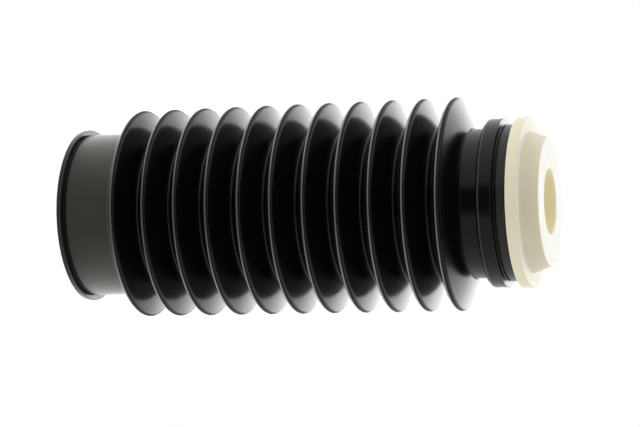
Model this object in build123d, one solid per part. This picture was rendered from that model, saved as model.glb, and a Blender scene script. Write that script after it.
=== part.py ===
from build123d import *
import os
from math import atan, cos, degrees, sin

# A dust boot and its bump stop, for the rod of a suspension damper, standing on the
# boot's cuff. +Z is the damper's axis, from the cuff up to the bump stop, and the
# origin is the centre of the cuff's end face. Both pieces are turned bodies: each is a
# half section in (radius, height) revolved about Z. All sizes in millimetres.

# ---- boot: cuff that pushes over the top of the damper's tube ----
CUFF_RADIUS = 29.0
CUFF_WALL = 1.8
CUFF_HEIGHT = 18.95  # end face to the foot of the first flank
CUFF_CORNER = 1.0  # bevel at that foot, its length along the cuff and the flank
RIM_PROUD = 1.8  # bead round the cuff's mouth, out from the cuff
RIM_THICKNESS = 1.8
RIM_EDGE = 0.3
RIM_GROOVE_DEPTH = 0.5  # groove behind the bead, into the cuff
RIM_GROOVE_LENGTH = 1.0

# ---- boot: convolutions ----
CONVOLUTIONS = 11
PITCH = 11.46
CREST_RADIUS = 37.0
ROOT_RADIUS = 26.6
CREST_LAND = 1.8  # narrow band round each crest
ROOT_LAND = 1.3  # narrow band round each root
BELLOWS_WALL = 1.1  # measured straight through a crest or a root
INNER_CREST_LAND = 0.5  # the band inside each crest, narrower so the flanks stay thin

# ---- boot: neck, collar and end lip ----
NECK_RADIUS = 26.0
NECK_LENGTH = 5.8
NECK_WALL = 1.3
COLLAR_PROUD = 3.2  # collar, out from the neck
COLLAR_LENGTH = 5.45
COLLAR_ROUNDING = 1.3  # radius of the collar's lower edge
COLLAR_SLOPE_LENGTH = 0.3
LIP_PROUD = 1.0  # end lip, out from the neck
RIDGE_LENGTH = 0.35  # ridge at the lip's radius, between the collar and the groove
GROOVE_DEPTH = 0.8
GROOVE_LENGTH = 0.55
LIP_LENGTH = 3.5
BEAD_THICKNESS = 4.2  # inward bead at the top that holds the bump stop

# ---- how the bump stop sits in the boot ----
BODY_CLEARANCE = 2.2  # stop's widest body to the neck's bore
SNAP_DEPTH = 2.0  # how far the bead reaches in behind the stop's shoulder
BEAD_CLEARANCE = 0.15  # bead to the stop's groove, all round
SHOULDER_CLEARANCE = 0.3  # bead to the stop's shoulder, along the axis

# ---- bump stop ----
FLANGE_THICKNESS = 3.8
FLANGE_EDGE = 0.3
NOSE_RADIUS = 24.3
NOSE_DRAFT = 2.3  # radius lost from the nose's foot to its face
NOSE_HEIGHT = 6.1
NOSE_EDGE = 0.3
BORE_RADIUS = 11.1
BORE_MOUTH = 1.0  # bevel at the lower end of the bore
SHOULDER_HEIGHT = 11.0
MIDDLE_STEP = 1.5  # each bulge is this much smaller in radius than the shoulder
MIDDLE_HEIGHT = 9.0
TOE_STEP = 4.0
TOE_HEIGHT = 8.0
WAIST_HEIGHT = 3.0
WAIST_SLOPE_HEIGHT = 2.5
UPPER_WAIST_WALL = 7.4  # foam left between each waist and the bore
LOWER_WAIST_WALL = 5.9
TIP_WALL = 2.9
TIP_HEIGHT = 9.0

# ---- sizes that follow ----
flank_run = (PITCH - CREST_LAND - ROOT_LAND) / 2
flank_slope = (CREST_RADIUS - ROOT_RADIUS) / flank_run  # radius gained per height
flank_angle = atan(flank_slope)
inner_crest_radius = CREST_RADIUS - BELLOWS_WALL
inner_root_radius = ROOT_RADIUS - BELLOWS_WALL
inner_flank_run = (inner_crest_radius - inner_root_radius) / flank_slope
cuff_bore_radius = CUFF_RADIUS - CUFF_WALL
neck_bore_radius = NECK_RADIUS - NECK_WALL
collar_radius = NECK_RADIUS + COLLAR_PROUD
lip_radius = NECK_RADIUS + LIP_PROUD
groove_radius = lip_radius - GROOVE_DEPTH
shoulder_radius = neck_bore_radius - BODY_CLEARANCE
shank_radius = shoulder_radius - SNAP_DEPTH
bead_bore_radius = shank_radius + BEAD_CLEARANCE

first_crest = CUFF_HEIGHT + (CREST_RADIUS - CUFF_RADIUS) / flank_slope + CREST_LAND / 2
crests = [first_crest + PITCH * turn for turn in range(CONVOLUTIONS)]
last_crest = crests[-1]
neck_start = last_crest + CREST_LAND / 2 + (CREST_RADIUS - NECK_RADIUS) / flank_slope
collar_start = neck_start + NECK_LENGTH
collar_end = collar_start + COLLAR_LENGTH
ridge_start = collar_end + COLLAR_SLOPE_LENGTH
groove_start = ridge_start + RIDGE_LENGTH
lip_start = groove_start + GROOVE_LENGTH
boot_top = lip_start + LIP_LENGTH
bead_start = boot_top - BEAD_THICKNESS
flange_top = boot_top + FLANGE_THICKNESS
nose_top = flange_top + NOSE_HEIGHT


def turned(section):
    """Revolve a closed half section, drawn as (radius, height), about Z."""
    return revolve(make_face(Plane.XZ * section), Axis.Z)


def outside_to_collar():
    """The boot's outer line, from the cuff's mouth up to the collar's rounded edge."""
    line = [
        (CUFF_RADIUS + RIM_PROUD, 0),
        (CUFF_RADIUS + RIM_PROUD, RIM_THICKNESS - RIM_EDGE),
        (CUFF_RADIUS + RIM_PROUD - RIM_EDGE, RIM_THICKNESS),
        (CUFF_RADIUS - RIM_GROOVE_DEPTH, RIM_THICKNESS),
        (CUFF_RADIUS - RIM_GROOVE_DEPTH, RIM_THICKNESS + RIM_GROOVE_LENGTH),
        (CUFF_RADIUS, RIM_THICKNESS + RIM_GROOVE_LENGTH),
        (CUFF_RADIUS, CUFF_HEIGHT - CUFF_CORNER),
        (
            CUFF_RADIUS + CUFF_CORNER * sin(flank_angle),
            CUFF_HEIGHT + CUFF_CORNER * cos(flank_angle),
        ),
    ]
    for crest in crests:
        if crest > first_crest:
            root = crest - PITCH / 2
            line += [
                (ROOT_RADIUS, root - ROOT_LAND / 2),
                (ROOT_RADIUS, root + ROOT_LAND / 2),
            ]
        line += [
            (CREST_RADIUS, crest - CREST_LAND / 2),
            (CREST_RADIUS, crest + CREST_LAND / 2),
        ]
    line += [
        (NECK_RADIUS, neck_start),
        (NECK_RADIUS, collar_start),
        (collar_radius - COLLAR_ROUNDING, collar_start),
    ]
    return line


def outside_from_collar():
    """The boot's outer line, from the collar's rounded edge up to the end lip."""
    return [
        (collar_radius, collar_start + COLLAR_ROUNDING),
        (collar_radius, collar_end),
        (lip_radius, ridge_start),
        (lip_radius, groove_start),
        (groove_radius, groove_start),
        (groove_radius, lip_start),
        (lip_radius, lip_start),
        (lip_radius, boot_top),
    ]


def boot_inside():
    """The boot's inner line, from the end lip back down to the cuff's mouth."""
    half_land = INNER_CREST_LAND / 2
    neck_run = half_land + (inner_crest_radius - neck_bore_radius) / flank_slope
    cuff_run = half_land + (inner_crest_radius - cuff_bore_radius) / flank_slope
    root_run = half_land + inner_flank_run
    line = [
        (bead_bore_radius, boot_top),
        (bead_bore_radius, bead_start),
        (neck_bore_radius, bead_start),
        (neck_bore_radius, last_crest + neck_run),
    ]
    for crest in reversed(crests):
        line += [
            (inner_crest_radius, crest + half_land),
            (inner_crest_radius, crest - half_land),
        ]
        if crest > first_crest:
            line += [
                (inner_root_radius, crest - root_run),
                (inner_root_radius, crest - PITCH + root_run),
            ]
    line += [
        (cuff_bore_radius, first_crest - cuff_run),
        (cuff_bore_radius, 0),
    ]
    return line


def bellows_boot():
    """One moulding: cuff, convolutions, neck, collar and end lip."""
    start = outside_to_collar()
    finish = outside_from_collar() + boot_inside()
    rounding = CenterArc(
        (collar_radius - COLLAR_ROUNDING, collar_start + COLLAR_ROUNDING),
        COLLAR_ROUNDING,
        start_angle=-90,
        arc_size=90,
    )
    return turned(Polyline(*start) + rounding + Polyline(*finish, start[0]))


def bump_stop():
    """Foam stop: nose and flange above the boot, waisted body inside it."""
    shoulder_top = bead_start - SHOULDER_CLEARANCE
    line = [
        (BORE_RADIUS, nose_top),
        (NOSE_RADIUS - NOSE_DRAFT - NOSE_EDGE, nose_top),
        (NOSE_RADIUS - NOSE_DRAFT, nose_top - NOSE_EDGE),
        (NOSE_RADIUS, flange_top),
        (collar_radius - FLANGE_EDGE, flange_top),
        (collar_radius, flange_top - FLANGE_EDGE),
        (collar_radius, boot_top),
        (shank_radius, boot_top),
        (shank_radius, shoulder_top),
        (shoulder_radius, shoulder_top),
    ]
    height = shoulder_top - SHOULDER_HEIGHT
    line.append((shoulder_radius, height))
    for waist_wall, bulge_step, bulge_height in (
        (UPPER_WAIST_WALL, MIDDLE_STEP, MIDDLE_HEIGHT),
        (LOWER_WAIST_WALL, TOE_STEP, TOE_HEIGHT),
    ):
        waist_radius = BORE_RADIUS + waist_wall
        bulge_radius = shoulder_radius - bulge_step
        waist_top = height - WAIST_SLOPE_HEIGHT
        waist_end = waist_top - WAIST_HEIGHT
        bulge_top = waist_end - WAIST_SLOPE_HEIGHT
        height = bulge_top - bulge_height
        line += [
            (waist_radius, waist_top),
            (waist_radius, waist_end),
            (bulge_radius, bulge_top),
            (bulge_radius, height),
        ]
    tip = height - TIP_HEIGHT
    line += [
        (BORE_RADIUS + TIP_WALL, tip),
        (BORE_RADIUS + BORE_MOUTH, tip),
        (BORE_RADIUS, tip + BORE_MOUTH),
    ]
    return turned(Polyline(*line, close=True))


def main():
    os.makedirs("parts", exist_ok=True)
    land_step = (CREST_LAND - INNER_CREST_LAND) / 2
    flank_wall = (land_step + BELLOWS_WALL / flank_slope) * sin(flank_angle)
    print("flank", round(degrees(flank_angle), 1), "degrees, wall", round(flank_wall, 2))
    print("boot", round(boot_top, 2), "high, with the stop", round(nose_top, 2))
    for name, piece in (("bellows_boot", bellows_boot()), ("bump_stop", bump_stop())):
        export_step(piece, f"parts/{name}.step")
        print(name, "volume", round(piece.volume / 1000, 1), "cm3")


main()
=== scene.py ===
# %% [markdown]
# # A rubber bellows boot with its bump stop
# On a car's damper a boot like this keeps grit off the polished rod. It is one moulding
# of black rubber: a plain cuff that pushes over the damper's tube, eleven folds, a neck
# with a collar, and a short lip. A cream foam bump stop snaps into the lip and shows its
# flange, its nose and its bore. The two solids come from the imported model, and
# everything below dresses them without changing a size.

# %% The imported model, and what the script needs
import math

import bpy
from mathutils import Matrix, Vector


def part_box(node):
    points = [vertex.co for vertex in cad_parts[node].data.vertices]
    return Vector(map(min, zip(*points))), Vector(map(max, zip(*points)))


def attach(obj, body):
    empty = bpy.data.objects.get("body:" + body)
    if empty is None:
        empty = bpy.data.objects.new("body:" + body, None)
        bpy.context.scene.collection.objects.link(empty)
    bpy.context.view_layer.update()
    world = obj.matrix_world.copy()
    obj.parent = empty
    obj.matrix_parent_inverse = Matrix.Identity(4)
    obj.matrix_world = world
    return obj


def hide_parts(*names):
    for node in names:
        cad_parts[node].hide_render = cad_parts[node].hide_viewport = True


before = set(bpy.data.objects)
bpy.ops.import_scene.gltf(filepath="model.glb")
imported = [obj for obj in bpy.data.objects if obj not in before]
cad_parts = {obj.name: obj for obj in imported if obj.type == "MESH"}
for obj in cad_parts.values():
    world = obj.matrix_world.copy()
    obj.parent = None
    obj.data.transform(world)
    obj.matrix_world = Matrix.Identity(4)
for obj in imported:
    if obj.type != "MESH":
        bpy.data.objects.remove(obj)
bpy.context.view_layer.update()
print("solids:", sorted(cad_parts))

# %% [markdown]
# ## Sizes
# All lengths are written in millimetres, as on a drawing, and turned into Blender's
# metres by one factor. The rounded corners are what the solids leave out: there every
# fold ends in a narrow flat band, while on the real boot the crest and the root are
# rounded, because a mould can't hold a sharp corner and rubber would split at one.

# %% Sizes that several pieces share
MM = 0.001
FOLDS = 11
PITCH = 11.46
FIRST_CREST = 23.065
CREST_RADIUS = 37.0
ROOT_RADIUS = 26.6
CREST_ROUNDING = 1.2
ROOT_ROUNDING = 1.0
WALL = 1.0
CUFF_RADIUS = 29.0
NECK_RADIUS = 26.0
LIP_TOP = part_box("bellows_boot")[1].z / MM
NOSE_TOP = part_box("bump_stop")[1].z / MM
STEPS_ROUND = 176
print("lip at", round(LIP_TOP, 2), "mm, nose at", round(NOSE_TOP, 2), "mm")

# %% [markdown]
# The folds are a zigzag with its corners rounded off. A rounded corner falls short of
# the sharp one, so the zigzag's sharp corners stand further out and further in than the
# crests and the roots do. The overshoot follows from the flank's slope, and the slope
# from the overshoot, so a few passes round the loop settle both.

# %% The sharp corners behind the rounded crests and roots
slope = 2.3
for _ in range(30):
    overshoot = math.sqrt(1 + slope * slope) - 1
    crest_corner = CREST_RADIUS + CREST_ROUNDING * overshoot
    root_corner = ROOT_RADIUS - ROOT_ROUNDING * overshoot
    slope = (crest_corner - root_corner) / (PITCH / 2)
wall_shift = WALL * math.sqrt(1 + slope * slope)
last_crest = FIRST_CREST + PITCH * (FOLDS - 1)
print("flank slope", round(slope, 3), "and wall", round(wall_shift, 2), "mm along the radius")
print("sharp corners at", round(crest_corner, 2), "and", round(root_corner, 2), "mm")


# %% [markdown]
# ## Building node trees from a script
# A node tree is easier to read in code when one call adds a node, sets its options and
# fills its sockets. The same helpers serve Geometry Nodes and shaders.

# %% Helpers for node trees
def node(tree, kind, inputs=None, **options):
    """Add a node; inputs maps a socket's name or number to a value or to a link's start."""
    made = tree.nodes.new(kind)
    for name, value in options.items():
        setattr(made, name, value)
    for key, value in (inputs or {}).items():
        if isinstance(value, bpy.types.NodeSocket):
            tree.links.new(value, made.inputs[key])
        else:
            made.inputs[key].default_value = value
    return made


def reckon(tree, operation, *values):
    """A Math node of that operation on one to three values, and its result."""
    return node(tree, "ShaderNodeMath", dict(enumerate(values)), operation=operation).outputs[0]


def between(tree, share, low, high):
    """low plus share of the way to high."""
    return reckon(tree, "MULTIPLY_ADD", share, reckon(tree, "SUBTRACT", high, low), low)


def new_tree(name, sockets):
    """A Geometry Nodes tree with named inputs, each given as (name, kind, first value)."""
    tree = bpy.data.node_groups.new(name, "GeometryNodeTree")
    for label, kind, value in sockets:
        socket = tree.interface.new_socket(label, in_out="INPUT", socket_type=kind)
        if value is not None:
            socket.default_value = value
    tree.interface.new_socket("Geometry", in_out="OUTPUT", socket_type="NodeSocketGeometry")
    return tree, node(tree, "NodeGroupInput").outputs, node(tree, "NodeGroupOutput").inputs


print("helpers ready: node, reckon, between, new_tree")

# %% [markdown]
# ## The fold line
# The eleven folds follow one rule, so Geometry Nodes write them instead of a list. Each
# half fold has three points: the sharp corner, and one point on either side of it that
# stays on the straight flank. Those two hold the shading of the flat flank apart from
# the shading of the rounded corner. Point number i gives its place along the folds,
# counted in half folds; the radius is a triangle wave of that place, and the height is
# the place times half the pitch.

# %% Each point's place along the folds
HOLD = 0.215  # where the flank's two holding points sit, as a share of the half fold
SURE = 0.1  # tolerance when two whole numbers are compared

fold_tree, given, out = new_tree("Fold line", [
    ("Folds", "NodeSocketInt", FOLDS),
    ("Pitch", "NodeSocketFloat", PITCH * MM),
    ("First Crest", "NodeSocketFloat", FIRST_CREST * MM),
    ("Crest Corner", "NodeSocketFloat", crest_corner * MM),
    ("Root Corner", "NodeSocketFloat", root_corner * MM),
    ("Crest Rounding", "NodeSocketFloat", CREST_ROUNDING * MM),
    ("Root Rounding", "NodeSocketFloat", ROOT_ROUNDING * MM),
    ("Order Start", "NodeSocketFloat", 100.0),
    ("Order Step", "NodeSocketFloat", 1.0),
])
index = node(fold_tree, "GeometryNodeInputIndex").outputs[0]
role = reckon(fold_tree, "MODULO", index, 3.0)
is_corner, is_low, is_high = (
    reckon(fold_tree, "COMPARE", role, wanted, SURE) for wanted in (0.0, 1.0, 2.0)
)
half_folds = reckon(fold_tree, "FLOOR", reckon(fold_tree, "DIVIDE", index, 3.0))
past_low = reckon(fold_tree, "MULTIPLY_ADD", is_low, HOLD, half_folds)
place = reckon(fold_tree, "MULTIPLY_ADD", is_high, 1.0 - HOLD, past_low)
print("fold line:", 6 * FOLDS - 5, "points for", FOLDS, "folds")

# %% The points themselves, each with its rounding and its order
in_fold = reckon(fold_tree, "MODULO", place, 2.0)
wave = reckon(fold_tree, "ABSOLUTE", reckon(fold_tree, "SUBTRACT", 1.0, in_fold))
fold_radius = between(fold_tree, wave, given["Root Corner"], given["Crest Corner"])
half_pitch = reckon(fold_tree, "MULTIPLY", given["Pitch"], 0.5)
fold_height = reckon(fold_tree, "MULTIPLY_ADD", place, half_pitch, given["First Crest"])
own_round = between(fold_tree, wave, given["Root Rounding"], given["Crest Rounding"])
fold_round = reckon(fold_tree, "MULTIPLY", is_corner, own_round)
fold_order = reckon(fold_tree, "MULTIPLY_ADD", index, given["Order Step"], given["Order Start"])
six_each = reckon(fold_tree, "MULTIPLY", given["Folds"], 6.0)
spot = node(fold_tree, "ShaderNodeCombineXYZ", {0: fold_radius, 1: fold_height}).outputs[0]
points = node(fold_tree, "GeometryNodePoints", {
    "Count": reckon(fold_tree, "SUBTRACT", six_each, 5.0), "Position": spot,
}).outputs[0]
for name, value in (("round", fold_round), ("order", fold_order)):
    points = node(fold_tree, "GeometryNodeStoreNamedAttribute", {
        "Geometry": points, "Name": name, "Value": value,
    }, data_type="FLOAT", domain="POINT").outputs[0]
fold_tree.links.new(points, out[0])
print("fold line tree:", len(fold_tree.nodes), "nodes")

# %% [markdown]
# ## Turning a section
# Both pieces are turned bodies. A Spin or a Screw modifier would need a tidy, joined
# outline first; here the section is still a cloud of points, each with a place in the
# order and a corner rounding. Points to Curves joins them, Fillet Curve rounds them,
# and Curve to Mesh carries the section round a circle, which leaves no seam to close.

# %% Joining the points and rounding the corners
turn_tree, given, out = new_tree("Turn a section", [
    ("Points", "NodeSocketGeometry", None),
    ("Steps Round", "NodeSocketInt", STEPS_ROUND),
    ("Material", "NodeSocketMaterial", None),
])


def attribute(tree, name):
    """A value stored on the points under that name."""
    kind = "GeometryNodeInputNamedAttribute"
    return node(tree, kind, {"Name": name}, data_type="FLOAT").outputs[0]


backwards = reckon(turn_tree, "MULTIPLY", attribute(turn_tree, "order"), -1.0)
joined = node(turn_tree, "GeometryNodePointsToCurves", {
    "Points": given["Points"], "Weight": backwards,
}).outputs[0]
closed = node(turn_tree, "GeometryNodeSetSplineCyclic", {
    "Geometry": joined, "Cyclic": True,
}).outputs[0]
rounding = attribute(turn_tree, "round")
corner_steps = reckon(turn_tree, "MULTIPLY_ADD", rounding, 3.0 / MM, 2.0)
section = node(turn_tree, "GeometryNodeFilletCurve", {
    "Curve": closed, "Radius": rounding, "Count": reckon(turn_tree, "CEIL", corner_steps),
}, mode="POLY").outputs[0]
print("corner steps: 2 and 3 more for each millimetre of rounding")

# %% Carrying the section round the axis
AXLE = 10.0  # radius of the carrying circle, any size well inside the section

upright = node(turn_tree, "GeometryNodeTransform", {
    "Geometry": section, "Translation": (-AXLE * MM, 0.0, 0.0), "Scale": (1.0, -1.0, 1.0),
}).outputs[0]
circle = node(turn_tree, "GeometryNodeCurvePrimitiveCircle", {
    "Resolution": given["Steps Round"], "Radius": AXLE * MM,
}).outputs[0]
level_circle = node(turn_tree, "GeometryNodeSetCurveNormal", {"Curve": circle}, mode="Z_UP")
swept = node(turn_tree, "GeometryNodeCurveToMesh", {
    "Curve": level_circle.outputs[0], "Profile Curve": upright,
}).outputs[0]
smooth = node(turn_tree, "GeometryNodeSetShadeSmooth", {"Geometry": swept}).outputs[0]
real = node(turn_tree, "GeometryNodeRealizeInstances", {"Geometry": smooth}).outputs[0]
dressed = node(turn_tree, "GeometryNodeSetMaterial", {
    "Geometry": real, "Material": given["Material"],
}).outputs[0]
turn_tree.links.new(dressed, out[0])
print("turning tree:", len(turn_tree.nodes), "nodes")

# %% [markdown]
# ## Holding the flat faces
# Smooth shading runs from a rounded corner out over the flat face beside it, and the
# flat face then looks bent. One more point close to each end of a rounded corner keeps
# the bend in the corner. It is left out where a face is too short to have room for it.

# %% Adding the holding points to a list of corners
HOLD_GAP = 0.2  # from a rounded corner's end to the point that holds the flat face
NUDGE = 0.3  # how far a holding point's order stands from its corner's
SAME_RUN = 40  # corners whose orders lie further apart have fold lines between them


def held(rows):
    """Rows of (order, radius, height, rounding), with their holding points added."""
    def reach(i):
        """How much of the faces on either side row i's rounding takes up."""
        here = Vector(rows[i][1:3])
        ways = [Vector(rows[j][1:3]) - here for j in (i - 1, (i + 1) % len(rows))]
        return rows[i][3] / math.tan(ways[0].angle(ways[1]) / 2) if rows[i][3] else 0.0

    full = []
    for i, (order, radius, height, rounding) in enumerate(rows):
        for j, side in ((i - 1, -NUDGE), ((i + 1) % len(rows), NUDGE)):
            if side > 0:
                full.append((order, radius, height, rounding))
            gap = Vector(rows[j][1:3]) - Vector((radius, height))
            room = gap.length - reach(i) - reach(j)
            if rounding and abs(rows[j][0] - order) < SAME_RUN and room > 4 * HOLD_GAP:
                spot = Vector((radius, height)) + gap.normalized() * (reach(i) + HOLD_GAP)
                full.append((order + side, *spot, 0.0))
    return full


print("helper ready: held")

# %% [markdown]
# ## From points to a plain mesh
# A piece starts as loose points, so that its numbers read like a drawing's. The
# modifier is set by its sockets' identifiers, the result is taken as a plain mesh, and
# the points and their modifier go, so nothing live is left on the finished piece.

# %% Making a turned piece from its section's points
def cloud(name, rows):
    """Loose points from rows of (order, radius, height, corner rounding), in millimetres."""
    rows = held(rows)
    orders, radii, heights, roundings = zip(*rows)
    mesh = bpy.data.meshes.new(name)
    mesh.from_pydata([(r * MM, h * MM, 0.0) for r, h in zip(radii, heights)], [], [])
    for label, values in (("order", orders), ("round", [r * MM for r in roundings])):
        mesh.attributes.new(label, "FLOAT", "POINT").data.foreach_set("value", values)
    start = bpy.data.objects.new(name, mesh)
    bpy.context.scene.collection.objects.link(start)
    return start


def baked(start, tree, name, values):
    """Run the tree on the points and keep its result as a plain mesh object."""
    modifier = start.modifiers.new("Section", "NODES")
    modifier.node_group = tree
    for socket in tree.interface.items_tree:
        if socket.in_out == "INPUT" and socket.name in values:
            modifier[socket.identifier] = values[socket.name]
    bpy.context.view_layer.update()
    evaluated = start.evaluated_get(bpy.context.evaluated_depsgraph_get())
    mesh = bpy.data.meshes.new_from_object(evaluated)
    start.modifiers.remove(modifier)
    bpy.data.objects.remove(start)
    for label in [a.name for a in mesh.attributes if a.name in ("order", "round")]:
        mesh.attributes.remove(mesh.attributes[label])
    piece = bpy.data.objects.new(name, mesh)
    bpy.context.scene.collection.objects.link(piece)
    print(name, "triangles:", sum(len(p.vertices) - 2 for p in mesh.polygons))
    return piece


print("helpers ready: cloud, baked")

# %% [markdown]
# ## Working with materials
# Every finish below is a few smooth steps and a few noises, read from the piece's own
# Object coordinates. So it stays on the piece, and no picture is needed.

# %% Helpers for materials
def material(name):
    """A new material, with its tree, its Principled shader and its Object coordinates."""
    made = bpy.data.materials.new(name)
    made.use_nodes = True
    shader = made.node_tree.nodes["Principled BSDF"]
    place = node(made.node_tree, "ShaderNodeTexCoord").outputs["Object"]
    return made, made.node_tree, shader, place


def ramp(tree, value, low, high, start, end, kind="SMOOTHSTEP"):
    """Carry value from the span low..high over to start..end."""
    return node(tree, "ShaderNodeMapRange", {
        "Value": value, "From Min": low, "From Max": high, "To Min": start, "To Max": end,
    }, interpolation_type=kind).outputs[0]


def window(tree, value, unit, rise, fall, top=1.0):
    """0 outside and top inside: rises over one span and falls over the other."""
    up = ramp(tree, value, rise[0] * unit, rise[1] * unit, 0.0, top)
    down = ramp(tree, value, fall[0] * unit, fall[1] * unit, 1.0, 0.0)
    return reckon(tree, "MULTIPLY", up, down)


def blend(tree, share, first, second):
    """One colour turning into another."""
    return node(tree, "ShaderNodeMix", {0: share, 6: first, 7: second}, data_type="RGBA").outputs[2]


print("helpers ready: material, ramp, window, blend")

# %% Helpers for places and for surface relief
def part_of(tree, vector, axis):
    """One of a vector's three parts."""
    return node(tree, "ShaderNodeSeparateXYZ", {0: vector}).outputs[axis]


def scaled(tree, place, across, up):
    """Coordinates scaled across the axis and along it."""
    factors = {0: place, 1: (across, across, up)}
    return node(tree, "ShaderNodeVectorMath", factors, operation="MULTIPLY").outputs[0]


def off_axis(tree, place):
    """Distance from the boot's axis."""
    flat = scaled(tree, place, 1.0, 0.0)
    return node(tree, "ShaderNodeVectorMath", {0: flat}, operation="LENGTH").outputs["Value"]


def noise(tree, place, scale, detail=4.0):
    """A noise texture's value at that scale, in waves per metre."""
    return node(tree, "ShaderNodeTexNoise", {
        "Vector": place, "Scale": scale, "Detail": detail, "Roughness": 0.55,
    }).outputs[0]


def cloudy(tree, place, scale, start, end):
    """A soft noise spread over start..end."""
    return ramp(tree, noise(tree, place, scale), 0.3, 0.7, start, end)


def bump(tree, height, strength, distance, under=None):
    """A bump of that height, over another bump if one is given."""
    inputs = {"Height": height, "Strength": strength, "Distance": distance * MM}
    if under is not None:
        inputs["Normal"] = under
    return node(tree, "ShaderNodeBump", inputs).outputs[0]


print("helpers ready: part_of, scaled, off_axis, noise, cloudy, bump")

# %% [markdown]
# ## The boot's rubber
# Carbon black makes moulded rubber almost perfectly black, so what the eye reads is its
# gloss. The folds leave a polished mould and shine; the cuff and the lip, which grip
# other parts, leave a blasted one and are dull. Each crest is brightest on its lower
# half, where the mould's parts meet, and a little scuffed above it. All of this goes by
# height and by distance from the axis, so the zones are worked out first.

# %% The rubber's zones, by height
# the heights over which the cuff, the first flank and the lip begin and end
CUFF_BEGINS = (2.65, 2.8)
CUFF_ENDS = (18.5, 20.0)
FLANK_BEGINS = (18.0, 19.2)
FLANK_ENDS = (22.4, 22.8)
LIP_BEGINS = (155.3, 155.5)

rubber, tree, shader, place = material("Moulded black rubber")
height = part_of(tree, place, "Z")
on_cuff = window(tree, height, MM, rise=CUFF_BEGINS, fall=CUFF_ENDS)
on_lip = ramp(tree, height, LIP_BEGINS[0] * MM, LIP_BEGINS[1] * MM, 0.0, 1.0)
dull = reckon(tree, "MAXIMUM", on_cuff, on_lip)
first_flank = window(tree, height, MM, rise=FLANK_BEGINS, fall=FLANK_ENDS)
print("zones by height: cuff and lip dull, first flank shiny")

# %% The two halves of each crest
CREST_BEGINS = (36.1, 36.4)  # the distances from the axis over which a crest begins
MIDDLE = 0.5  # where a crest stands between the root below it and the root above
CHANGE = 0.03  # how far from the middle the finish has changed over

above_root = reckon(tree, "SUBTRACT", height, (FIRST_CREST - PITCH / 2) * MM)
fold_share = reckon(tree, "FRACT", reckon(tree, "DIVIDE", above_root, PITCH * MM))
out_from_axis = off_axis(tree, place)
on_crest = ramp(tree, out_from_axis, CREST_BEGINS[0] * MM, CREST_BEGINS[1] * MM, 0.0, 1.0)
lower_half = ramp(tree, fold_share, MIDDLE, MIDDLE - CHANGE, 0.0, 1.0)
polished = reckon(tree, "MULTIPLY", lower_half, on_crest)
upper_half = ramp(tree, fold_share, MIDDLE, MIDDLE + CHANGE, 0.0, 1.0)
scuffed = reckon(tree, "MULTIPLY", upper_half, on_crest)
print("crests: polished on the lower half and scuffed on the upper")

# %% [markdown]
# The gloss has two sides: how much is mirrored, and how sharply. The cuff's gloss has a
# faint olive bloom, the film that rubber's protective wax leaves on a blasted face.

# %% The rubber's gloss and colour
GLOSS = 0.5  # how much the rubber mirrors
CUFF_GLOSS = 0.04  # how much more the cuff does
POLISH = 0.7  # how much more a crest's lower half and the first flank do
SCUFFS = -0.25  # how much less a crest's upper half does
GLOSSY = 0.19  # roughness of the folds
BLASTED = 0.3  # roughness of the cuff and the lip
POLISHED_OFF = -0.06  # what a crest's polish takes off the roughness
CUFF_GREY = 0.25  # how far the cuff's black is on its way to the lip's worn black
DEEP_BLACK = (0.0022, 0.0022, 0.0024, 1.0)
WORN_BLACK = (0.021, 0.0206, 0.018, 1.0)
WHITE = (1.0, 1.0, 1.0, 1.0)
OLIVE = (1.0, 1.0, 0.9, 1.0)

shader.inputs["IOR"].default_value = 1.4
shiny = reckon(tree, "MAXIMUM", polished, first_flank)
gloss = reckon(tree, "MULTIPLY_ADD", on_cuff, CUFF_GLOSS, GLOSS)
gloss = reckon(tree, "MULTIPLY_ADD", shiny, POLISH, gloss)
gloss = reckon(tree, "MULTIPLY_ADD", scuffed, SCUFFS, gloss)
tree.links.new(gloss, shader.inputs["Specular IOR Level"])
tree.links.new(blend(tree, on_cuff, WHITE, OLIVE), shader.inputs["Specular Tint"])
rough = ramp(tree, dull, 0.0, 1.0, GLOSSY, BLASTED, "LINEAR")
rough = reckon(tree, "MULTIPLY_ADD", polished, POLISHED_OFF, rough)
rough = reckon(tree, "ADD", rough, cloudy(tree, place, 90.0, -0.02, 0.03))
tree.links.new(rough, shader.inputs["Roughness"])
greyer = reckon(tree, "MAXIMUM", reckon(tree, "MULTIPLY", on_cuff, CUFF_GREY), on_lip)
tree.links.new(blend(tree, greyer, DEEP_BLACK, WORN_BLACK), shader.inputs["Base Color"])
print("rubber so far:", len(tree.nodes), "nodes")

# %% [markdown]
# A fine grain, turning marks that run round the boot and a faint unevenness keep the
# gloss from looking like lacquer. The turning marks are a noise that is squeezed along
# the axis and drawn out across it.

# %% The rubber's surface
grain = bump(tree, noise(tree, place, 2600.0), 0.12, 0.03)
turning_marks = noise(tree, scaled(tree, place, 0.05, 1.0), 1500.0, 2.0)
marked = bump(tree, turning_marks, 0.12, 0.03, grain)
uneven = bump(tree, noise(tree, place, 160.0, 2.0), 0.25, 0.06, marked)
tree.links.new(uneven, shader.inputs["Normal"])
print("rubber:", len(tree.nodes), "nodes")

# %% [markdown]
# ## The boot
# The fold line gives the long middle of the section, once outside and once inside, set
# in by the wall. Only the ends are written out as points: rim, cuff and first flank
# below, neck, collar, groove and lip above, and the bore back down. The order numbers
# leave room for the two fold lines between them.

# %% Where the flanks run out into the cuff and the neck
CUFF_BORE = 27.2
NECK_BORE = 24.7

inner_crest = crest_corner - wall_shift
foot = FIRST_CREST - (crest_corner - CUFF_RADIUS) / slope
neck = last_crest + (crest_corner - NECK_RADIUS) / slope
inner_foot = FIRST_CREST - (inner_crest - CUFF_BORE) / slope
inner_neck = last_crest + (inner_crest - NECK_BORE) / slope


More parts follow.
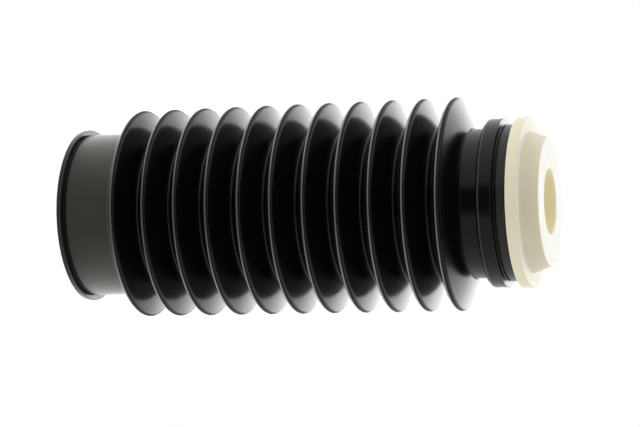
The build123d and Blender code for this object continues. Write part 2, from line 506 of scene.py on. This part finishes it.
def on_flank(crest, side, corner):
    """The holding point on the flank above (1) or below (-1) a crest's sharp corner."""
    drop = HOLD * PITCH / 2
    return corner - slope * drop, crest + side * drop


print("cuff's foot at", round(foot, 2), "mm, neck from", round(neck, 2), "mm")

# %% The boot's section
RIM_RADIUS = 30.8
RIM_TOP = 1.8
RIM_GROOVE_RADIUS = 28.5
RIM_GROOVE_TOP = 2.8
COLLAR_RADIUS = 29.2
COLLAR_FOOT = LIP_TOP - 10.15
COLLAR_TOP = COLLAR_FOOT + 5.45
RIDGE_FOOT = COLLAR_TOP + 0.3
GROOVE_FOOT = RIDGE_FOOT + 0.35
GROOVE_TOP = LIP_TOP - 3.5
GROOVE_RADIUS = 26.2
LIP_RADIUS = 27.0
BEAD_BORE = 20.65
BEAD_FOOT = LIP_TOP - 4.2

# each row: order, radius, height, corner rounding
boot_rows = [
    (0, RIM_RADIUS, 0.0, 0.35),
    (1, RIM_RADIUS, RIM_TOP, 0.3),
    (2, RIM_GROOVE_RADIUS, RIM_TOP, 0.1),
    (3, RIM_GROOVE_RADIUS, RIM_GROOVE_TOP, 0.1),
    (4, CUFF_RADIUS, RIM_GROOVE_TOP, 0.12),
    (5, CUFF_RADIUS, foot, 1.65),
    (6, *on_flank(FIRST_CREST, -1, crest_corner), 0.0),
    (200, *on_flank(last_crest, 1, crest_corner), 0.0),
    (202, NECK_RADIUS, neck, 0.2),
    (204, NECK_RADIUS, COLLAR_FOOT, 0.15),
    (205, COLLAR_RADIUS, COLLAR_FOOT, 1.3),
    (207, COLLAR_RADIUS, COLLAR_TOP, 0.25),
    (208, LIP_RADIUS, RIDGE_FOOT, 0.06),
    (209, LIP_RADIUS, GROOVE_FOOT, 0.1),
    (210, GROOVE_RADIUS, GROOVE_FOOT, 0.1),
    (211, GROOVE_RADIUS, GROOVE_TOP, 0.1),
    (212, LIP_RADIUS, GROOVE_TOP, 0.2),
    (213, LIP_RADIUS, LIP_TOP, 0.2),
    (300, BEAD_BORE, LIP_TOP, 0.2),
    (301, BEAD_BORE, BEAD_FOOT, 0.3),
    (302, NECK_BORE, BEAD_FOOT, 0.3),
    (303, NECK_BORE, inner_neck, 0.8),
    (304, *on_flank(last_crest, 1, inner_crest), 0.0),
    (600, *on_flank(FIRST_CREST, -1, inner_crest), 0.0),
    (601, CUFF_BORE, inner_foot, 0.8),
    (602, CUFF_BORE, 0.0, 0.2),
]
print("written points:", len(boot_rows))

# %% [markdown]
# The inner fold line is the outer one moved in by the wall. Its crests are rounded more
# tightly than the outer ones and its roots less, each by the wall, so the rubber keeps
# one thickness round every bend. It runs back down, so its orders fall.

# %% The tree that puts the boot together
boot_tree, given, out = new_tree("Bellows boot", [
    ("Ends", "NodeSocketGeometry", None),
    ("Folds", "NodeSocketInt", FOLDS),
    ("Pitch", "NodeSocketFloat", PITCH * MM),
    ("First Crest", "NodeSocketFloat", FIRST_CREST * MM),
    ("Wall Shift", "NodeSocketFloat", wall_shift * MM),
    ("Wall", "NodeSocketFloat", WALL * MM),
    ("Steps Round", "NodeSocketInt", STEPS_ROUND),
    ("Material", "NodeSocketMaterial", None),
])


def fold_line(inside, order_start, order_step):
    """The fold line outside (0.0) or inside (1.0) the wall."""
    group = node(boot_tree, "GeometryNodeGroup", {}, node_tree=fold_tree)
    for name in ("Folds", "Pitch", "First Crest"):
        boot_tree.links.new(given[name], group.inputs[name])
    for name, first, moved_by, way in (
        ("Crest Corner", crest_corner, "Wall Shift", -inside),
        ("Root Corner", root_corner, "Wall Shift", -inside),
        ("Crest Rounding", CREST_ROUNDING, "Wall", -inside),
        ("Root Rounding", ROOT_ROUNDING, "Wall", inside),
    ):
        value = reckon(boot_tree, "MULTIPLY_ADD", given[moved_by], way, first * MM)
        boot_tree.links.new(value, group.inputs[name])
    group.inputs["Order Start"].default_value = order_start
    group.inputs["Order Step"].default_value = order_step
    return group.outputs[0]


ends = node(boot_tree, "GeometryNodeMeshToPoints", {"Mesh": given["Ends"]}).outputs[0]
together = node(boot_tree, "GeometryNodeJoinGeometry")
for line in (ends, fold_line(0.0, 100.0, 1.0), fold_line(1.0, 500.0, -1.0)):
    boot_tree.links.new(line, together.inputs[0])
turning = node(boot_tree, "GeometryNodeGroup", node_tree=turn_tree)
boot_tree.links.new(together.outputs[0], turning.inputs["Points"])
for name in ("Steps Round", "Material"):
    boot_tree.links.new(given[name], turning.inputs[name])
boot_tree.links.new(turning.outputs[0], out[0])
print("boot tree:", len(boot_tree.nodes), "nodes")

# %% The finished boot
boot = baked(cloud("boot section", boot_rows), boot_tree, "boot_moulding", {
    "Folds": FOLDS,
    "Pitch": PITCH * MM,
    "First Crest": FIRST_CREST * MM,
    "Wall Shift": wall_shift * MM,
    "Wall": WALL * MM,
    "Steps Round": STEPS_ROUND,
    "Material": rubber,
})
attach(boot, "root")
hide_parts("bellows_boot")

# %% [markdown]
# ## The bump stop's foam
# Microcellular polyurethane is cast into a mould and comes out with a closed, matt skin
# the colour of cream. Its upper faces carry a painted highlight: a paler cream, the nose's
# the least yellow, stands in for the light that washes them out. They also have a velvety
# sheen, so they whiten when they are seen at a low angle. The bore carries painted bounce
# light, a brighter and warmer yellow, and the skin's own colour drifts slightly.

# %% The foam's colour
CREAM = (0.755, 0.705, 0.515, 1.0)
LIGHTER_CREAM = (0.785, 0.74, 0.55, 1.0)
# painted bounce light: a brighter, warmer yellow for the bore
BORE_PAINTED_BOUNCE_LIGHT = (0.91, 0.855, 0.57, 1.0)
# painted highlight: paler cream for the faces turned upwards, greyest on the nose, standing in for
# the light that washes them out
PAINTED_PALE_FLANGE = (0.78, 0.75, 0.63, 1.0)
PAINTED_PALE_NOSE = (0.70, 0.686, 0.61, 1.0)

foam, tree, shader, place = material("Cream polyurethane foam")
skin = blend(tree, cloudy(tree, place, 45.0, 0.0, 1.0), CREAM, LIGHTER_CREAM)
# painted bounce light: the bore is painted a brighter, warmer yellow
in_bore = ramp(tree, off_axis(tree, place), 11.3 * MM, 11.1 * MM, 0.0, 1.0)
skin = blend(tree, in_bore, skin, BORE_PAINTED_BOUNCE_LIGHT)
facing = node(tree, "ShaderNodeTexCoord").outputs["Normal"]
# painted highlight: faces turned upwards are painted the paler colours; the same mask also sets
# their sheen
up_faces_painted_pale = ramp(tree, part_of(tree, facing, "Z"), 0.5, 0.95, 0.0, 1.0)
on_nose = ramp(tree, part_of(tree, place, "Z"), 165.0 * MM, 167.0 * MM, 0.0, 1.0)
painted_pale_tops = blend(tree, on_nose, PAINTED_PALE_FLANGE, PAINTED_PALE_NOSE)
tree.links.new(blend(tree, up_faces_painted_pale, skin, painted_pale_tops), shader.inputs["Base Color"])
velvet = ramp(tree, up_faces_painted_pale, 0.0, 1.0, 0.2, 0.5, "LINEAR")
tree.links.new(velvet, shader.inputs["Sheen Weight"])
shader.inputs["Sheen Roughness"].default_value = 0.35
print("foam so far:", len(tree.nodes), "nodes")

# %% [markdown]
# Light goes a little way into the foam, red furthest and blue least, so its edges look
# soft and warm. The skin has fine pits where bubbles met the mould and turning marks
# that run round it.

# %% The foam's surface
tree.links.new(cloudy(tree, place, 300.0, 0.5, 0.62), shader.inputs["Roughness"])
shader.inputs["Subsurface Weight"].default_value = 0.15
shader.inputs["Subsurface Radius"].default_value = (1.0, 0.85, 0.5)
shader.inputs["Subsurface Scale"].default_value = 1.5 * MM
bubbles = node(tree, "ShaderNodeTexVoronoi", {"Vector": place, "Scale": 1500.0}).outputs[0]
pitted = bump(tree, ramp(tree, bubbles, 0.0, 0.25, 0.0, 1.0), 0.15, 0.05)
turning_marks = noise(tree, scaled(tree, place, 0.06, 1.0), 1100.0, 2.0)
marked = bump(tree, turning_marks, 0.35, 0.1, pitted)
uneven = bump(tree, noise(tree, place, 220.0, 2.0), 0.2, 0.1, marked)
tree.links.new(uneven, shader.inputs["Normal"])
print("foam:", len(tree.nodes), "nodes")

# %% [markdown]
# ## The bump stop
# Outside the boot it is a flange and a slightly tapered nose with the rod's bore through
# both. Inside it is a waisted column: the bulges crush one after another, which makes
# the stop stiffer the further the damper closes.

# %% The bump stop's section
BORE = 11.1
FLANGE_TOP = LIP_TOP + 3.8
SHOULDER = BEAD_FOOT - 0.3  # the stop's widest step, just under the boot's bead

# the column inside the boot: radius, depth below the shoulder, corner rounding
column = [
    (BORE, 53.0, 0.6),
    (14.0, 53.0, 0.8),
    (18.5, 44.0, 1.5),
    (18.5, 36.0, 1.5),
    (17.0, 33.5, 1.8),
    (17.0, 30.5, 1.8),
    (21.0, 28.0, 1.8),
    (21.0, 19.0, 1.8),
    (18.5, 16.5, 1.8),
    (18.5, 13.5, 1.8),
    (22.5, 11.0, 1.8),
    (22.5, 0.0, 0.8),
]
stop_rows = [
    (22.0, NOSE_TOP, 0.4),
    (BORE, NOSE_TOP, 0.6),
    *[(radius, SHOULDER - depth, rounding) for radius, depth, rounding in column],
    (20.5, SHOULDER, 0.3),
    (20.5, LIP_TOP, 0.2),
    (COLLAR_RADIUS, LIP_TOP, 0.3),
    (COLLAR_RADIUS, FLANGE_TOP, 0.35),
    (24.3, FLANGE_TOP, 0.2),
]
stop_rows = [(order, *row) for order, row in enumerate(stop_rows)]
print("written points:", len(stop_rows))

# %% The bump stop's tree, and the finished stop
stop_tree, given, out = new_tree("Bump stop", [
    ("Section", "NodeSocketGeometry", None),
    ("Steps Round", "NodeSocketInt", STEPS_ROUND),
    ("Material", "NodeSocketMaterial", None),
])
corners = node(stop_tree, "GeometryNodeMeshToPoints", {"Mesh": given["Section"]}).outputs[0]
turning = node(stop_tree, "GeometryNodeGroup", node_tree=turn_tree)
stop_tree.links.new(corners, turning.inputs["Points"])
for name in ("Steps Round", "Material"):
    stop_tree.links.new(given[name], turning.inputs[name])
stop_tree.links.new(turning.outputs[0], out[0])

stop = baked(cloud("stop section", stop_rows), stop_tree, "stop_moulding", {
    "Steps Round": STEPS_ROUND,
    "Material": foam,
})
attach(stop, "root")
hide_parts("bump_stop")

# %% [markdown]
# ## Camera
# A long lens, about 122 mm on a 36 mm sensor, from 0.78 m away. The boot stands on its
# cuff, so the camera is rolled until the boot's axis runs across the picture with the
# bump stop to the right and a little nearer.

# %% The camera
LEAN = 0.2827  # how far the boot's upper end leans towards the camera, as a sine
ROLL = 0.0279  # how far it rises in the picture
LENS = 122.445
DISTANCE = 0.78295
SHIFT_RIGHT = 0.061305
SHIFT_UP = 0.0000148

upright_share = math.sqrt(1 - LEAN * LEAN)
side = ROLL / upright_share
back = Vector((0.0, -upright_share, LEAN))
unrolled = Vector((0.0, LEAN, upright_share))
right = Vector((1.0, 0.0, 0.0)) * side + unrolled * math.sqrt(1 - side * side)
right.normalize()
up = back.cross(right).normalized()
first_crest_centre = Vector((0.0, 0.0, FIRST_CREST * MM))
camera = bpy.data.objects.new("Camera", bpy.data.cameras.new("Camera"))
camera.data.sensor_width = 36.0
camera.data.lens = LENS
camera.data.clip_start = 0.01
camera.matrix_world = Matrix((right, up, back)).transposed().to_4x4()
camera.location = first_crest_centre + right * SHIFT_RIGHT + up * SHIFT_UP + back * DISTANCE
bpy.context.scene.collection.objects.link(camera)
bpy.context.scene.camera = camera
print("camera at", [round(v, 4) for v in camera.location], "lens", LENS)

# %% [markdown]
# ## Light, floor and background
# Gloss on black rubber is nothing but a picture of the light around it, so the light is
# set up as a tent of white cloth, and the world holds it: its brightness depends on the
# direction alone. One angle, `turned`, goes round the boot's axis from the camera's
# side, the other, `lift`, goes up along it.

# %% Directions round the boot
DEG = math.pi / 180

world = bpy.data.worlds.new("Tent")
bpy.context.scene.world = world
world.use_nodes = True
tree = world.node_tree
direction = node(tree, "ShaderNodeTexCoord").outputs["Generated"]


def along(*axis):
    """How far the direction runs along a fixed axis."""
    inputs = {0: direction, 1: Vector(axis).normalized()}
    return node(tree, "ShaderNodeVectorMath", inputs, operation="DOT_PRODUCT").outputs["Value"]


turned = reckon(tree, "ARCTAN2", along(-1, 0, 0), along(0, -1, 0))
round_about = reckon(tree, "ABSOLUTE", turned)
lift = reckon(tree, "ARCSINE", along(0, 0, 1))
print("angles ready: turned, round_about, lift")

# %% [markdown]
# The cloth is brightest under the cuff and fades smoothly along the boot, which leaves a
# dark gap beside the folds. It is a little brighter behind the boot, and the doorway
# through which the camera looks in is dark.

# %% The cloth under the cuff
UNDER_CUFF = 2.15  # the cloth's brightness, where 1 is white
BRIGHTER = 1.18  # how many times as bright it is behind the boot
HIDDEN = 0.95  # how much of it the doorway takes away

under_cuff = ramp(tree, along(-0.05, 0.1, -1), -0.25, 0.95, 0.0, UNDER_CUFF)
brighter_behind = ramp(tree, round_about, 50 * DEG, 100 * DEG, 1.0, BRIGHTER)
under_cuff = reckon(tree, "MULTIPLY", under_cuff, brighter_behind)
from_middle = reckon(tree, "ABSOLUTE", reckon(tree, "SUBTRACT", turned, 5 * DEG))
doorway = reckon(
    tree, "MULTIPLY",
    ramp(tree, from_middle, 14 * DEG, 28 * DEG, HIDDEN, 0.0),
    ramp(tree, lift, -30 * DEG, -14 * DEG, 0.0, 1.0),
)
cloth = reckon(tree, "MULTIPLY", under_cuff, reckon(tree, "SUBTRACT", 1.0, doorway))
print("cloth under the cuff, with its doorway")

# %% [markdown]
# A second band of cloth stands above the gap, two side cloths lean in over it towards
# the bump stop, and a strip behind the boot closes the tent. Between them they draw the
# folds' gloss and keep the foam evenly lit.

# %% The cloth above, beside and behind
BAND_FRONT = 1.0  # the band's brightness on the camera's side
BAND_SIDE = 1.6  # and from the boot's sides round to its back
ONE_SIDED = 0.1  # how much one side gains and the other loses
SIDE_CLOTHS = 0.75
BACK_STRIP = 1.95

band_level = ramp(tree, round_about, 0.0, 90 * DEG, BAND_FRONT, BAND_SIDE)
band_level = reckon(tree, "MULTIPLY_ADD", reckon(tree, "SINE", turned), ONE_SIDED, band_level)
band = window(tree, lift, DEG, rise=(1, 21), fall=(35, 57.4))
sides = reckon(
    tree, "MULTIPLY",
    window(tree, round_about, DEG, rise=(40, 70), fall=(120, 140), top=SIDE_CLOTHS),
    window(tree, lift, DEG, rise=(30, 48), fall=(58, 74)),
)
behind = reckon(
    tree, "MULTIPLY",
    ramp(tree, round_about, 156 * DEG, 169 * DEG, 0.0, BACK_STRIP),
    ramp(tree, lift, 59.6 * DEG, 90 * DEG, 1.0, 0.0),
)
tent = reckon(tree, "MULTIPLY_ADD", band, band_level, cloth)
tent = reckon(tree, "ADD", tent, reckon(tree, "ADD", behind, sides))
print("tent so far:", len(tree.nodes), "nodes")

# %% [markdown]
# To the camera itself the world is plain white, so the background is white however the
# tent is set.

# %% The world, as the camera sees it and as it lights
from_camera = node(tree, "ShaderNodeLightPath").outputs["Is Camera Ray"]
strength = node(tree, "ShaderNodeMix", {0: from_camera, 2: tent, 3: 1.0}).outputs[0]
background = tree.nodes["Background"]
background.inputs["Color"].default_value = WHITE
tree.links.new(strength, background.inputs["Strength"])
print("tent:", len(tree.nodes), "nodes")

# %% [markdown]
# The floor is a plain white disc. The camera sees it as white as the background. Mirror
# rays see it as lit cloth, which fades towards the doorway on the camera's side, because
# the cuff stands so close to it that it reflects little else.

# %% The floor
FLOOR_RADIUS = 0.115
FLOOR_SIDES = 96

rim = []
for i in range(FLOOR_SIDES):
    angle = i * math.tau / FLOOR_SIDES
    rim.append((FLOOR_RADIUS * math.cos(angle), FLOOR_RADIUS * math.sin(angle), 0.0))
floor_mesh = bpy.data.meshes.new("floor")
floor_mesh.from_pydata(rim, [], [list(range(FLOOR_SIDES))])
floor = bpy.data.objects.new("floor", floor_mesh)
bpy.context.scene.collection.objects.link(floor)
print("floor radius", FLOOR_RADIUS, "m")

# %% The floor's paper
SEEN = 0.7  # the paper's glow for the camera, on top of the light that falls on it
AT_DOORWAY = 0.55  # its glow for mirror rays on the camera's side
ALL_ROUND = 1.6  # and on the other sides

paper, tree, shader, place = material("White paper")
shader.inputs["Base Color"].default_value = (0.85, 0.85, 0.85, 1.0)
shader.inputs["Roughness"].default_value = 0.9
shader.inputs["Emission Color"].default_value = WHITE
towards_camera = reckon(tree, "MULTIPLY", part_of(tree, place, "Y"), -1.0)
turned = reckon(tree, "ARCTAN2", part_of(tree, place, "X"), towards_camera)
round_about = reckon(tree, "ABSOLUTE", turned)
lit_cloth = ramp(tree, round_about, 15 * DEG, 90 * DEG, AT_DOORWAY, ALL_ROUND)
path = node(tree, "ShaderNodeLightPath").outputs
seen = reckon(tree, "MULTIPLY", path["Is Camera Ray"], SEEN)
glow = reckon(tree, "MULTIPLY_ADD", path["Is Glossy Ray"], lit_cloth, seen)
tree.links.new(glow, shader.inputs["Emission Strength"])
floor_mesh.materials.append(paper)
print("paper:", len(tree.nodes), "nodes")

# %% [markdown]
# ## Finishing
# The picture uses the Standard view, so colours come out as they are written.

# %% View settings
bpy.context.scene.view_settings.view_transform = "Standard"
